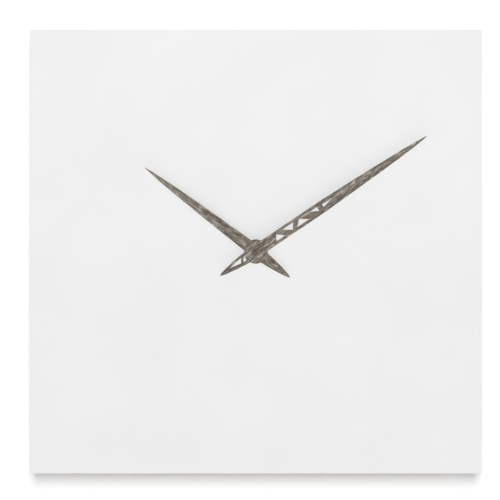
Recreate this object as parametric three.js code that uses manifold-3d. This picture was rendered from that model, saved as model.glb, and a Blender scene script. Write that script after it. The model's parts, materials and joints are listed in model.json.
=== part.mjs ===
// Square wall clock: a lacquered panel on a timber back frame, two veneered hands and a quartz movement.
//
// Every size is in millimetres. Pieces are drawn as seen from the front: x to the right, y up, z from the
// wall towards the viewer, with the hand shaft at x = 0, y = 0 and the wall at z = 0. addPiece() turns each
// one upright, so that the front faces -Y, and the clock group puts the origin on the top rail's back.

import * as THREE from "three";
import { mergeVertices } from "three/addons/utils/BufferGeometryUtils.js";
import Module from "manifold-3d";

const wasm = await Module();
wasm.setup();

const overcut = 1; // how far a cutting tool runs past the faces it opens
const rootOverlap = 0.5; // how far a post or lip runs into the wall it stands on
const sides = { pilot: 8, pin: 12, arbor: 16, bush: 24, stem: 32 }; // flats round a turned piece
const curveSteps = { corner: 4, keyhole: 8, hand: 12 };

// Panel and back frame
const panelWidth = 450;
const panelHeight = 441.5;
const panelThickness = 6;
const frameInset = 20; // from the panel's edge to the frame's outer face
const railWidth = 28;

// Keyhole hangers, each let into the top rail's back across a gap between two lengths of it
const plateWidth = 44;
const plateHeight = 20;
const plateThickness = 1.6;
const plateSpacing = 280;
const keyholeHeadRadius = 4.7;
const keyholeSlotRadius = 2.4;
const keyholeTravel = 7; // from the head hole's centre up to the slot's
const keyholeMargin = 2; // from the keyhole's sides to the ends of the timber
const screwSpacing = 30;
const screwHeadRadius = 3.2;
const screwShankRadius = 1.5;
const screwLength = 14;
const screwPoint = 3;
const screwClearance = 0.12;

// Movement case
const caseWall = 1.4;
const coverThickness = 1.2;
const caseCornerRadius = 2.5;
const fitClearance = 0.15; // between mouldings that fit into each other
const knobRoom = 3; // between the wall and the case's back
const boreWall = 0.8; // depth of the blind pivot holes in the case's front
const pinProud = 0.2; // how far a post's pin or stub stands past what it carries
const lipDepth = 0.9;
const lipWall = 0.95;
const settingHoleClearance = 0.5;
const trainFloorGap = 1.1; // from the centre wheel's tips to the battery bay's wall
const coilHeadroom = 0.6; // from the coil to the case's top
const postSideGap = 1; // from the setting pinion to the post beside it
const postGearGap = 0.2;

// Battery
const batteryDiameter = 14.1;
const batteryLength = 50.5;
const batteryGap = 0.25;
const batteryNubRadius = 2.75;
const batteryNubLength = 1.4;
const contactRoom = 1.35; // at each end of the cell
const contactThickness = 0.4;
const contactTabWidth = 3;
const contactStop = 5; // from the case's front to the contacts' ends
const contactClearance = { positive: 0.3, negative: 0.5 }; // from the side walls to the contacts
const contactSlotWidth = 1.2;
const contactSlotStop = 4; // from the case's front to the ends of the slots for the contacts
const cellBevel = 0.5;
const cellCrimp = { inner: 1.2, outer: 1, recess: 0.4, rise: 0.9 };

// Threaded stem, its nut and washers
const stemRadius = 3.85;
const stemBoreClearance = 0.2; // round the hour tube
const threadClearance = 0.1;
const stemFlangeRadius = 5;
const panelHoleClearance = 0.35;
const rubberThickness = 1;
const rubberRadius = 9;
const washerThickness = 0.6;
const washerRadius = 8.5;
const nutHeight = 2.5;
const nutAcrossFlats = 11;
const stemAboveNut = 0.3;

// Arbors and wheels
const runningClearance = 0.05;
const arborRadius = 0.65;
const pivotRadius = 0.45;
const endShake = 0.4;
const wheelThickness = 1;
const motionWheelThickness = 1.2;
const pinionOverrun = 0.2; // how far a pinion stands past the wheel it drives, at each side
const trainGap = 1; // along the arbors, between neighbouring wheels
const motionGap = 0.5;
const trainModule = 0.38;
const motionModule = 0.48;
const cannonRadius = 1.7; // the minute arbor inside the hour tube
const cannonRearRadius = 1.3; // where the centre wheel slips on it
const hourTubeWall = 0.75;
const settingRadius = 1;
const minuteHubWall = 0.3;
const springReach = 1.2;
const springThickness = 0.25;
const springEdge = 0.2;
const springGap = 0.03; // from the wheel that the spring presses on

// Leaves and teeth
const rotorLeaves = 6;
const intermediateTeeth = 30;
const intermediateLeaves = 6;
const secondsTeeth = 36;
const secondsLeaves = 6;
const thirdTeeth = 45;
const thirdLeaves = 6;
const centreTeeth = 48;
const cannonLeaves = 10;
const minuteTeeth = 30;
const minuteLeaves = 8;
const hourTeeth = 32;
const settingLeaves = 10;
const mostLeaves = 20; // a part with more teeth than this has a wheel's outline
const tipRoom = 1; // kept clear outside the pitch circle, in modules

// Train bridge and circuit board
const bridgeThickness = 1.2;
const bridgeGap = 1.6; // between the bridge and the rearmost wheel
const coverGap = 1.5; // between the bridge and the back cover
const boardThickness = 1;
const boardWidth = 41;
const boardHeight = 6.4;
const postRadius = 1.5;
const postPinRadius = 0.9;
const bridgeSideGap = 1;
const bridgeCornerRadius = 1;
const boardEdgeGap = 0.6;
const chipX = 6;
const chipProfile = [[2.2, 0], [1.9, 0.6], [1.1, 1]]; // [radius, height above the board]
const chipHeight = 1.1;
const crystalX = -8;
const crystalLength = 6;
const crystalRadius = 1;

// Stepping motor
const magnetRadius = 3;
const magnetLength = 2.6;
const magnetAirGap = 0.4;
const statorThickness = 0.8;
const statorRing = 1.8; // metal round the rotor's hole
const statorBand = 2.8;
const statorLeg = 3;
const coreWidth = 3;
const coilLength = 24;
const coilHeight = 7.2;
const coilDepth = 5.8;
const flangeThickness = 0.8;
const windingInset = 0.5; // the flanges stand this far past the winding
const bobbinWall = 0.6;
const motorScrewRadius = 0.8;
const motorScrewHeadRadius = 1.4;
const motorScrewHeadHeight = 1;
const motorPilotExtra = 0.4; // the pilot holes run this far into the case's front
const bandGap = 0.6; // from the intermediate arbor to the stator's lower band
const coilGap = 0.4; // from that band to the coil
const coilOffset = 8.6; // from the rotor across to the coil's middle
const coilLegGap = 0.2;
const windingCorner = 0.4;

// Hand setting knob
const knobRadius = 6;
const knobThickness = 2;
const knobRibs = 20;
const knobRibDepth = 0.4;
const knobGap = 0.3; // from the case to the knob
const knobWeb = 0.6; // left behind the arbor's socket

// Hands
const handThickness = 2;
const hubRadius = 12;
const handGap = 1.2; // from the hour hand's face to the minute hand's back
const stemToHand = 0.5; // from the stem's end to the hour bush
const bushFlange = 0.4;
const bushFlangeRadius = 6.5;
const hourBushWall = 1.1;
const minuteBushRadius = 3.2;
const minuteBushDepth = 1.2;
const glueGap = 0.05;
const minuteHand = {
  angle: 34, // degrees above the horizontal, to the right
  reach: 204.3,
  tail: 43,
  halfWidth: 6,
  straight: 79.6, // from the shaft to where the taper starts
  taper: [0.916, 0.5],
  tailHalfWidth: 5.9,
};
const hourHand = {
  angle: 142.9,
  reach: 138.5,
  tail: 42.8,
  halfWidth: 6.1,
  straight: 12,
  taper: [0.86, 0.54],
  tailHalfWidth: 5.8,
};
const tailTaper = [0.88, 0.49];
const handRail = 3; // the solid edge left beside the windows

// Each window is a triangle of [distance along the hand, share of the width between the edges]
const bladeWindows = [
  [[26.3, 0.97], [22.6, -1], [32.9, -1.03]],
  [[33.7, 1.13], [42.4, -0.93], [46.6, 1.1]],
  [[53.1, 0.97], [47.8, -1], [61.5, -0.93]],
  [[66.2, 0.9], [74.6, -0.63], [74.6, 0.9]],
  [[80.2, 0.77], [80.2, -0.43], [90.1, 0.43]],
];
const tailWindows = [
  [[-12.2, 0.73], [-16.4, -0.63], [-12.2, -0.63]],
  [[-15.8, 1.03], [-30.4, 0.23], [-18.4, -0.53]],
];

// Depths along the shaft, worked out from the wall outwards
const trainDepth = endShake + motionWheelThickness + motionGap + motionWheelThickness
  + 3 * (trainGap + wheelThickness) + bridgeGap + bridgeThickness + coverGap + coverThickness;
const bayDepth = batteryDiameter + 2 * batteryGap;
const caseBack = knobRoom;
const caseFront = caseBack + caseWall + Math.max(trainDepth, bayDepth);
const frontInner = caseFront - caseWall;
const coverFront = caseBack + coverThickness;
const panelBack = caseFront + rubberThickness;
const panelFront = panelBack + panelThickness;
const nutBack = panelFront + washerThickness;
const nutFront = nutBack + nutHeight;
const stemFront = nutFront + stemAboveNut;
const hourBushBack = stemFront + stemToHand;
const hourHandBack = hourBushBack + bushFlange;
const hourHandFront = hourHandBack + handThickness;
const minuteHandBack = hourHandFront + handGap;
const minuteBushBack = minuteHandBack - bushFlange;
const minuteHandFront = minuteHandBack + handThickness;

// The space that each wheel takes along its arbor, from the front wall backwards
function layerBehind(front, gap, thickness) {
  return { front: front - gap, back: front - gap - thickness };
}
const hourLayer = layerBehind(frontInner, endShake, motionWheelThickness);
const minuteLayer = layerBehind(hourLayer.back, motionGap, motionWheelThickness);
const centreLayer = layerBehind(minuteLayer.back, trainGap, wheelThickness);
const thirdLayer = layerBehind(centreLayer.back, trainGap, wheelThickness);
const secondsLayer = layerBehind(thirdLayer.back, trainGap, wheelThickness);
const bridgeLayer = layerBehind(secondsLayer.back, bridgeGap, bridgeThickness);
const boardFront = bridgeLayer.front + boardThickness;
const statorLayer = { back: centreLayer.front, front: centreLayer.front + statorThickness };
const coreLayer = { back: statorLayer.front, front: statorLayer.front + statorThickness };
const coilCentreDepth = (coreLayer.back + coreLayer.front) / 2;

// The hour tube, which turns on the cannon arbor and inside the stem
const hourTubeBore = cannonRadius + 2 * runningClearance;
const hourTubeRadius = hourTubeBore + hourTubeWall;
const hourTubeFront = hourHandFront - endShake / 2;
const stemBore = hourTubeRadius + stemBoreClearance;

// Arbor places in the front view, from the centre distances of the wheels that mesh
function pointAt(from, distance, degrees) {
  const angle = THREE.MathUtils.degToRad(degrees);
  return { x: from.x + distance * Math.cos(angle), y: from.y + distance * Math.sin(angle) };
}
function centreDistance(module, teeth, leaves) {
  return (module * (teeth + leaves)) / 2;
}
const towards = { third: 150, seconds: 60, intermediate: 0, rotor: -10, minuteWheel: 0, setting: 0 };
const shaft = { x: 0, y: 0 };
const thirdAxis = pointAt(shaft, centreDistance(trainModule, centreTeeth, thirdLeaves), towards.third);
const secondsAxis = pointAt(
  thirdAxis,
  centreDistance(trainModule, thirdTeeth, secondsLeaves),
  towards.seconds,
);
const intermediateAxis = pointAt(
  secondsAxis,
  centreDistance(trainModule, secondsTeeth, intermediateLeaves),
  towards.intermediate,
);
const rotorAxis = pointAt(
  intermediateAxis,
  centreDistance(trainModule, intermediateTeeth, rotorLeaves),
  towards.rotor,
);
const minuteAxis = pointAt(
  shaft,
  centreDistance(motionModule, minuteTeeth, cannonLeaves),
  towards.minuteWheel,
);
const settingAxis = pointAt(
  minuteAxis,
  centreDistance(motionModule, minuteTeeth, settingLeaves),
  towards.setting,
);

// Motor and case outline, worked out from the arbors and the battery
const bandBottom = intermediateAxis.y + arborRadius + bandGap;
const bandTop = bandBottom + statorBand;
const coilY = bandTop + coilGap + coilHeight / 2;
const coilX = rotorAxis.x - coilOffset;
const legOffset = coilLength / 2 + coilLegGap + statorLeg / 2;
const batteryRadius = batteryDiameter / 2;
const trainBelow = trainModule * (centreTeeth / 2 + tipRoom) + trainFloorGap;
const innerTop = coilY + coilHeight / 2 + coilHeadroom;
const innerBottom = -trainBelow - caseWall - bayDepth;
const bayTop = -trainBelow - caseWall;
const settingRoom = motionModule * (settingLeaves / 2 + tipRoom);
const innerHalfWidth = Math.max(
  batteryLength / 2 + contactRoom,
  settingAxis.x + settingRoom + 2 * postRadius + postSideGap,
);
const batteryY = (bayTop + innerBottom) / 2;
const batteryDepth = frontInner - bayDepth / 2;
const postX = innerHalfWidth - 2 * postRadius;
const lowerPostY = settingAxis.y - settingRoom - postRadius - postGearGap;
const boardY = -trainBelow + boardEdgeGap + boardHeight / 2;
const posts = [
  [-postX, innerTop - 2 * postRadius],
  [postX, innerTop - 2 * postRadius],
  [-postX, lowerPostY],
  [postX, lowerPostY],
].map(([x, y]) => ({ x, y }));

const finishes = {
  lacquer: { color: 0xf0f0f0, roughness: 0.45, metalness: 0 },
  pine: { color: 0xcdb083, roughness: 0.7, metalness: 0 },
  veneer: { color: 0x82796f, roughness: 0.65, metalness: 0 },
  zinc: { color: 0xb9bcc0, roughness: 0.35, metalness: 1 },
  brass: { color: 0xc9a75c, roughness: 0.3, metalness: 1 },
  steel: { color: 0xc4c6c9, roughness: 0.3, metalness: 1 },
  copper: { color: 0xb5652b, roughness: 0.4, metalness: 1 },
  ferrite: { color: 0x2b2b2e, roughness: 0.6, metalness: 0.2 },
  rubber: { color: 0x1a1a1b, roughness: 0.9, metalness: 0 },
  blackPlastic: { color: 0x1c1d1f, roughness: 0.55, metalness: 0 },
  whitePlastic: { color: 0xe9e6dd, roughness: 0.45, metalness: 0 },
  amberPlastic: { color: 0xc98a3a, roughness: 0.4, metalness: 0 },
  board: { color: 0x8a6b2f, roughness: 0.6, metalness: 0 },
  cellSleeve: { color: 0x4f6b57, roughness: 0.35, metalness: 0.3 },
};

// Solid helpers

function solidOf(geometry) {
  const bare = geometry.clone();
  bare.deleteAttribute("normal");
  bare.deleteAttribute("uv");
  const merged = mergeVertices(bare);
  return new wasm.Manifold(new wasm.Mesh({
    numProp: 3,
    vertProperties: new Float32Array(merged.attributes.position.array),
    triVerts: new Uint32Array(merged.index.array),
  }));
}

function geometryOf(solid) {
  const mesh = solid.getMesh();
  const geometry = new THREE.BufferGeometry();
  geometry.setAttribute("position", new THREE.BufferAttribute(new Float32Array(mesh.vertProperties), 3));
  geometry.setIndex(new THREE.BufferAttribute(new Uint32Array(mesh.triVerts), 1));
  geometry.computeVertexNormals();
  return geometry;
}

function join(...pieces) {
  return geometryOf(pieces.map(solidOf).reduce((whole, piece) => whole.add(piece)));
}

function cut(body, ...tools) {
  return geometryOf(tools.map(solidOf).reduce((left, tool) => left.subtract(tool), solidOf(body)));
}

// An outline in the front view, extruded from the depth back to the depth front
function slab(shape, back, front, curveSegments = curveSteps.hand) {
  const options = { depth: front - back, bevelEnabled: false, curveSegments };
  const geometry = new THREE.ExtrudeGeometry(shape, options);
  return geometry.translate(0, 0, back);
}

function block(width, height, back, front, x = 0, y = 0) {
  return new THREE.BoxGeometry(width, height, front - back).translate(x, y, (front + back) / 2);
}

function rod(radius, back, front, at = shaft, count = sides.arbor) {
  const geometry = new THREE.CylinderGeometry(radius, radius, front - back, count);
  return geometry.rotateX(Math.PI / 2).translate(at.x, at.y, (front + back) / 2);
}

// A closed profile of [radius, depth] points, turned about a line along the depth
function turned(profile, at = shaft, count = sides.bush) {
  const points = profile.map(([radius, depth]) => new THREE.Vector2(radius, depth));
  return new THREE.LatheGeometry(points, count).rotateX(Math.PI / 2).translate(at.x, at.y, 0);
}

function ring(inner, outer, back, front) {
  const bore = rod(inner, back - overcut, front + overcut, shaft, sides.bush);
  return cut(rod(outer, back, front, shaft, sides.bush), bore);
}

function roundedRectangle(left, right, bottom, top, radius) {
  const shape = new THREE.Shape();
  shape.absarc(right - radius, top - radius, radius, 0, Math.PI / 2);
  shape.absarc(left + radius, top - radius, radius, Math.PI / 2, Math.PI);
  shape.absarc(left + radius, bottom + radius, radius, Math.PI, 1.5 * Math.PI);
  shape.absarc(right - radius, bottom + radius, radius, 1.5 * Math.PI, 2 * Math.PI);
  return shape;
}

// Places pieces in the clock

const clock = new THREE.Group();

function addPiece(name, finish, geometry) {
  const upright = geometry.clone().rotateX(Math.PI / 2);
  const mesh = new THREE.Mesh(upright, new THREE.MeshStandardMaterial(finishes[finish]));
  mesh.name = name;
  clock.add(mesh);
}

// Panel and back frame

const frameWidth = panelWidth - 2 * frameInset;
const frameHeight = panelHeight - 2 * frameInset;
const railCentreY = (frameHeight - railWidth) / 2;
const railCentreX = (frameWidth - railWidth) / 2;

function addPanel() {
  const board = block(panelWidth, panelHeight, panelBack, panelFront);
  const holeRadius = stemRadius + panelHoleClearance;
  const hole = rod(holeRadius, panelBack - overcut, panelFront + overcut, shaft, sides.stem);
  addPiece("dial_panel", "lacquer", cut(board, hole));
}

function keyholeShape() {
  const shape = new THREE.Shape();
  const spread = Math.asin(keyholeSlotRadius / keyholeHeadRadius);
  const start = Math.PI / 2 + spread;
  shape.absarc(0, keyholeTravel / 2, keyholeSlotRadius, 0, Math.PI);
  shape.absarc(0, -keyholeTravel / 2, keyholeHeadRadius, start, start + 2 * (Math.PI - spread));
  return shape;
}

// A countersunk wood screw lying along the depth, its head flush with the plate's wall side
function woodScrew(at) {
  return turned([
    [0, 0],
    [screwHeadRadius, 0],
    [screwShankRadius, plateThickness],
    [screwShankRadius, screwLength - screwPoint],
    [0, screwLength],
  ], at, sides.arbor);
}

function countersunkHole(at) {
  const mouth = screwHeadRadius + screwClearance;
  const bore = screwShankRadius + screwClearance;
  return turned([
    [0, -overcut],
    [mouth, -overcut],
    [mouth, 0],
    [bore, plateThickness],
    [bore, plateThickness + overcut],
    [0, plateThickness + overcut],
  ], at, sides.arbor);
}

function hangerPlaces() {
  return [
    { side: "left", x: -plateSpacing / 2 },
    { side: "right", x: plateSpacing / 2 },
  ];
}

function screwPlaces(x) {
  return [x - screwSpacing / 2, x + screwSpacing / 2].map((place) => ({ x: place, y: railCentreY }));
}

function addHangers() {
  for (const { side, x } of hangerPlaces()) {
    const plate = block(plateWidth, plateHeight, 0, plateThickness, x, railCentreY);
    const keyhole = slab(keyholeShape(), -overcut, plateThickness + overcut, curveSteps.keyhole);
    const holes = screwPlaces(x).map(countersunkHole);
    addPiece(`${side}_hanger_plate`, "zinc", cut(plate, keyhole.translate(x, railCentreY, 0), ...holes));
    screwPlaces(x).forEach((place, index) => {
      addPiece(`${side}_hanger_screw_${index + 1}`, "zinc", woodScrew(place));
    });
  }
}

// The top rail is in three lengths, with a gap for a screw's head behind each keyhole
function addRails() {
  const halfGap = keyholeHeadRadius + keyholeMargin;
  const recessWidth = plateWidth + 2 * fitClearance;
  const recessHeight = plateHeight + 2 * fitClearance;
  const pilotRadius = screwShankRadius + 2 * screwClearance;
  const pilotDepth = screwLength + screwClearance;
  const cuts = hangerPlaces().flatMap(({ x }) => [
    block(recessWidth, recessHeight, -overcut, plateThickness, x, railCentreY),
    ...screwPlaces(x).map((place) => rod(pilotRadius, 0, pilotDepth, place, sides.pilot)),
  ]);
  const middleHalf = plateSpacing / 2 - halfGap;
  const endStart = plateSpacing / 2 + halfGap;
  const lengths = [
    { name: "left", from: -frameWidth / 2, to: -endStart },
    { name: "middle", from: -middleHalf, to: middleHalf },
    { name: "right", from: endStart, to: frameWidth / 2 },
  ];
  for (const { name, from, to } of lengths) {
    const length = block(to - from, railWidth, 0, panelBack, (from + to) / 2, railCentreY);
    addPiece(`top_rail_${name}`, "pine", cut(length, ...cuts));
  }
  addPiece("bottom_rail", "pine", block(frameWidth, railWidth, 0, panelBack, 0, -railCentreY));
  const uprightHeight = frameHeight - 2 * railWidth;
  addPiece("left_rail", "pine", block(railWidth, uprightHeight, 0, panelBack, -railCentreX));
  addPiece("right_rail", "pine", block(railWidth, uprightHeight, 0, panelBack, railCentreX));
}

// Wheels and pinions

// Half of a tooth's outline, as [share of the pitch from the tooth's centre, height in modules]
const wheelFlank = [[-0.3, -1.05], [-0.11, 0.68]];
const leafFlank = [[-0.2, -1.05], [-0.17, 0], [-0.08, 0.68]];

function gearShape(teeth, module, phase) {
  const flank = teeth > mostLeaves ? wheelFlank : leafFlank;
  const tooth = [...flank, ...flank.map(([share, height]) => [-share, height]).reverse()];
  const points = [];
  for (let index = 0; index < teeth; index += 1) {
    for (const [share, height] of tooth) {
      const angle = phase + ((index + share) * 2 * Math.PI) / teeth;
      const radius = module * (teeth / 2 + height);
      points.push(new THREE.Vector2(radius * Math.cos(angle), radius * Math.sin(angle)));
    }
  }
  return new THREE.Shape(points);
}

function gear(teeth, module, phase, layer, at, overrun = 0) {
  const body = slab(gearShape(teeth, module, phase), layer.back - overrun, layer.front + overrun);
  return body.translate(at.x, at.y, 0);
}

// The angle of a follower's tooth, so that a gap of it faces the driver's tooth on the line of centres
function meshPhase(driverPhase, driverTeeth, followerTeeth, from, to) {
  const line = Math.atan2(to.y - from.y, to.x - from.x);
  return line + Math.PI + Math.PI / followerTeeth - ((driverPhase - line) * driverTeeth) / followerTeeth;
}

// A plain arbor with a pivot at each end, one in the bridge and one in the case's front
function arbor(at) {
  return [
    rod(arborRadius, bridgeLayer.front + endShake, frontInner - endShake, at, sides.pin),
    rod(pivotRadius, bridgeLayer.back + endShake, frontInner + boreWall - endShake / 2, at, sides.pin),
  ];
}

const rotorPhase = 0;
const intermediatePhase = meshPhase(
  rotorPhase,
  rotorLeaves,
  intermediateTeeth,
  rotorAxis,
  intermediateAxis,
);
const secondsPhase = meshPhase(0, intermediateLeaves, secondsTeeth, intermediateAxis, secondsAxis);
const thirdPhase = meshPhase(0, secondsLeaves, thirdTeeth, secondsAxis, thirdAxis);
const centrePhase = meshPhase(0, thirdLeaves, centreTeeth, thirdAxis, shaft);
const minutePhase = meshPhase(0, cannonLeaves, minuteTeeth, shaft, minuteAxis);
const hourPhase = meshPhase(0, minuteLeaves, hourTeeth, minuteAxis, shaft);
const settingPhase = meshPhase(minutePhase, minuteTeeth, settingLeaves, minuteAxis, settingAxis);

function addRunningTrain() {
  const magnetBack = (statorLayer.back + statorLayer.front - magnetLength) / 2;
  addPiece("rotor", "ferrite", join(
    ...arbor(rotorAxis),
    gear(rotorLeaves, trainModule, rotorPhase, thirdLayer, rotorAxis, pinionOverrun),
    rod(magnetRadius, magnetBack, magnetBack + magnetLength, rotorAxis, sides.bush),
  ));
  addPiece("intermediate_wheel", "whitePlastic", join(
    ...arbor(intermediateAxis),
    gear(intermediateTeeth, trainModule, intermediatePhase, thirdLayer, intermediateAxis),
    gear(intermediateLeaves, trainModule, 0, secondsLayer, intermediateAxis, pinionOverrun),
  ));
  addPiece("seconds_wheel", "whitePlastic", join(
    ...arbor(secondsAxis),
    gear(secondsTeeth, trainModule, secondsPhase, secondsLayer, secondsAxis),
    gear(secondsLeaves, trainModule, 0, thirdLayer, secondsAxis, pinionOverrun),
  ));
  addPiece("third_wheel", "amberPlastic", join(
    ...arbor(thirdAxis),
    gear(thirdTeeth, trainModule, thirdPhase, thirdLayer, thirdAxis),
    gear(thirdLeaves, trainModule, 0, centreLayer, thirdAxis, pinionOverrun),
  ));
  const bore = rod(
    cannonRearRadius + runningClearance,
    centreLayer.back - overcut,
    centreLayer.front + overcut,
  );
  addPiece("centre_wheel", "whitePlastic", cut(
    gear(centreTeeth, trainModule, centrePhase, centreLayer, shaft),
    bore,
  ));
}

// Motion work: the cannon arbor carries the minute hand and drives the hour wheel through the minute wheel

function addMotionWork() {
  const cannonFront = minuteLayer.front + pinionOverrun;
  addPiece("cannon_arbor", "steel", join(
    rod(pivotRadius, bridgeLayer.back + endShake, centreLayer.back),
    rod(cannonRearRadius, bridgeLayer.front + endShake, cannonFront),
    gear(cannonLeaves, motionModule, 0, minuteLayer, shaft, pinionOverrun),
    rod(cannonRadius, cannonFront - pinionOverrun, minuteHandBack + minuteBushDepth - 2 * glueGap),
  ));
  const springRadius = cannonRearRadius + runningClearance;
  const springBack = centreLayer.front + springGap;
  const springFront = minuteLayer.back - pinionOverrun;
  addPiece("clutch_spring", "steel", turned([
    [springRadius, springBack],
    [cannonRadius, springBack],
    [springRadius + springReach, springFront - springEdge],
    [springRadius + springReach, springFront],
    [springRadius, springBack + springThickness],
    [springRadius, springBack],
  ], shaft, sides.arbor));
  addPiece("minute_wheel", "whitePlastic", cut(
    join(
      gear(minuteTeeth, motionModule, minutePhase, minuteLayer, minuteAxis),
      gear(minuteLeaves, motionModule, 0, hourLayer, minuteAxis, pinionOverrun),
      rod(arborRadius + minuteHubWall, minuteLayer.back, hourLayer.front + pinionOverrun, minuteAxis),
    ),
    rod(arborRadius + runningClearance, minuteLayer.back - overcut, frontInner, minuteAxis, sides.pin),
  ));
  addPiece("hour_wheel", "amberPlastic", cut(
    join(
      gear(hourTeeth, motionModule, hourPhase, hourLayer, shaft),
      rod(hourTubeRadius, hourLayer.back, hourTubeFront, shaft, sides.bush),
    ),
    rod(hourTubeBore, hourLayer.back - overcut, hourTubeFront + overcut),
  ));
}

function addHandSetting() {
  const knobFront = caseBack - knobGap;
  const knobBack = knobFront - knobThickness;
  const pivotEnd = frontInner + boreWall - endShake / 2;
  addPiece("setting_arbor", "whitePlastic", join(
    rod(settingRadius, knobBack + knobWeb, frontInner - endShake, settingAxis),
    rod(pivotRadius, knobFront, pivotEnd, settingAxis, sides.pin),
    gear(settingLeaves, motionModule, settingPhase, minuteLayer, settingAxis, pinionOverrun),
  ));
  const points = [];
  for (let rib = 0; rib < 2 * knobRibs; rib += 1) {
    const radius = knobRadius - (rib % 2) * knobRibDepth;
    const angle = (rib * Math.PI) / knobRibs;
    points.push(new THREE.Vector2(radius * Math.cos(angle), radius * Math.sin(angle)));
  }
  const disc = slab(new THREE.Shape(points), knobBack, knobFront);
  const socketBack = knobBack + knobWeb - glueGap;
  const socket = rod(settingRadius + glueGap, socketBack, knobFront + overcut, settingAxis);
  const knob = cut(disc.translate(settingAxis.x, settingAxis.y, 0), socket);
  addPiece("setting_knob", "blackPlastic", knob);
}

// Case, bridge and stem

function addCase() {
  const halfWidth = innerHalfWidth + caseWall;
  const bottom = innerBottom - caseWall;
  const top = innerTop + caseWall;
  const seam = bayTop + caseWall / 2;
  const wholeOutline = roundedRectangle(-halfWidth, halfWidth, bottom, top, caseCornerRadius);
  const bayOutline = roundedRectangle(-halfWidth, halfWidth, bottom, seam, caseCornerRadius);
  const shell = join(
    slab(wholeOutline, coverFront, caseFront, curveSteps.corner),
    slab(bayOutline, caseBack, coverFront + rootOverlap, curveSteps.corner),
  );
  const trainHeight = innerTop + trainBelow;
  const trainY = (innerTop - trainBelow) / 2;
  const trainRoom = block(2 * innerHalfWidth, trainHeight, 0, frontInner, 0, trainY);
  const bay = block(2 * innerHalfWidth, bayDepth, 0, frontInner, 0, batteryY);
  const contactSlots = [-1, 1].map((side) => block(
    contactSlotWidth,
    caseWall + 2 * overcut,
    coverFront,
    frontInner - contactSlotStop,
    side * (innerHalfWidth - contactSlotWidth / 2),
    bayTop + caseWall / 2,
  ));
  const coverSpan = 2 * halfWidth + 2 * overcut;
  const coverRecess = block(coverSpan, coverSpan, 0, coverFront, 0, seam + coverSpan / 2);
  const root = frontInner + rootOverlap;
  const pinRoot = bridgeLayer.front + rootOverlap;
  const supports = [
    ...posts.map((post) => rod(postRadius, bridgeLayer.front, root, post)),
    ...posts.map((post) => rod(postPinRadius, bridgeLayer.back - pinProud, pinRoot, post, sides.pin)),
    rod(arborRadius, minuteLayer.back - pinProud, root, minuteAxis, sides.pin),
    ...motorScrewPlaces().map((place) => rod(postRadius, coreLayer.front, root, place)),
  ];
  const boreRadius = pivotRadius + runningClearance;
  const boreEnd = frontInner + boreWall;
  const pivotHoles = [thirdAxis, secondsAxis, intermediateAxis, rotorAxis, settingAxis].map(
    (axis) => rod(boreRadius, frontInner - overcut, boreEnd, axis, sides.pin),
  );
  const pilotRadius = motorScrewRadius + screwClearance;
  const pilotEnd = frontInner + motorPilotExtra;
  const pilotHoles = motorScrewPlaces().map(
    (place) => rod(pilotRadius, 0, pilotEnd, place, sides.pin),
  );
  addPiece("movement_front_shell", "blackPlastic", cut(
    join(cut(shell, trainRoom, bay, ...contactSlots, coverRecess), ...supports),
    ...pivotHoles,
    ...pilotHoles,
    rod(stemRadius + glueGap, frontInner - overcut, caseFront + overcut, shaft, sides.stem),
  ));

  const coverBottom = seam + fitClearance;
  const coverOutline = roundedRectangle(-halfWidth, halfWidth, coverBottom, top, caseCornerRadius);
  const lipWidth = 2 * (innerHalfWidth - fitClearance);
  const lipHeight = trainHeight - 2 * fitClearance;
  const lipFront = coverFront + lipDepth;
  const lip = cut(
    block(lipWidth, lipHeight, coverFront - rootOverlap, lipFront, 0, trainY),
    block(lipWidth - 2 * lipWall, lipHeight - 2 * lipWall, caseBack, lipFront + overcut, 0, trainY),
  );
  addPiece("movement_back_cover", "blackPlastic", cut(
    join(slab(coverOutline, caseBack, coverFront, curveSteps.corner), lip),
    rod(settingRadius + settingHoleClearance, caseBack - overcut, coverFront + overcut, settingAxis),
  ));
}

function addBridge() {
  const margin = 2 * fitClearance;
  const right = innerHalfWidth - bridgeSideGap;
  const plate = slab(
    roundedRectangle(-right, right, -trainBelow + margin, innerTop - margin, bridgeCornerRadius),
    bridgeLayer.back,
    bridgeLayer.front,
    curveSteps.corner,
  );
  const back = bridgeLayer.back - overcut;
  const front = bridgeLayer.front + overcut;
  const pivots = [shaft, thirdAxis, secondsAxis, intermediateAxis, rotorAxis];
  addPiece("train_bridge", "whitePlastic", cut(
    plate,
    ...pivots.map((axis) => rod(pivotRadius + runningClearance, back, front, axis, sides.pin)),
    ...posts.map((post) => rod(postPinRadius + runningClearance, back, front, post, sides.pin)),
    rod(settingRadius + runningClearance, back, front, settingAxis),
  ));
}

function addStem() {
  addPiece("threaded_stem", "brass", cut(
    join(
      rod(stemRadius, frontInner, stemFront, shaft, sides.stem),
      rod(stemFlangeRadius, caseFront, panelBack, shaft, sides.stem),
    ),
    rod(stemBore, frontInner - overcut, stemFront + overcut, shaft, sides.stem),
  ));
  const rubber = ring(stemFlangeRadius + fitClearance, rubberRadius, caseFront, panelBack);
  addPiece("rubber_washer", "rubber", rubber);
  const washer = ring(stemRadius + threadClearance, washerRadius, panelFront, nutBack);
  addPiece("flat_washer", "steel", washer);
  const nut = new THREE.CylinderGeometry(1, 1, nutHeight, 6);
  const corner = nutAcrossFlats / 2 / Math.cos(Math.PI / 6);
  nut.scale(corner, 1, corner).rotateX(Math.PI / 2).translate(0, 0, nutBack + nutHeight / 2);
  const boreRadius = stemRadius + threadClearance;
  const bore = rod(boreRadius, nutBack - overcut, nutFront + overcut, shaft, sides.stem);
  addPiece("stem_nut", "brass", cut(nut, bore));
}

// Stepping motor

function motorScrewPlaces() {
  return [-1, 1].map((side) => ({ x: coilX + side * legOffset, y: coilY }));
}

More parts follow.
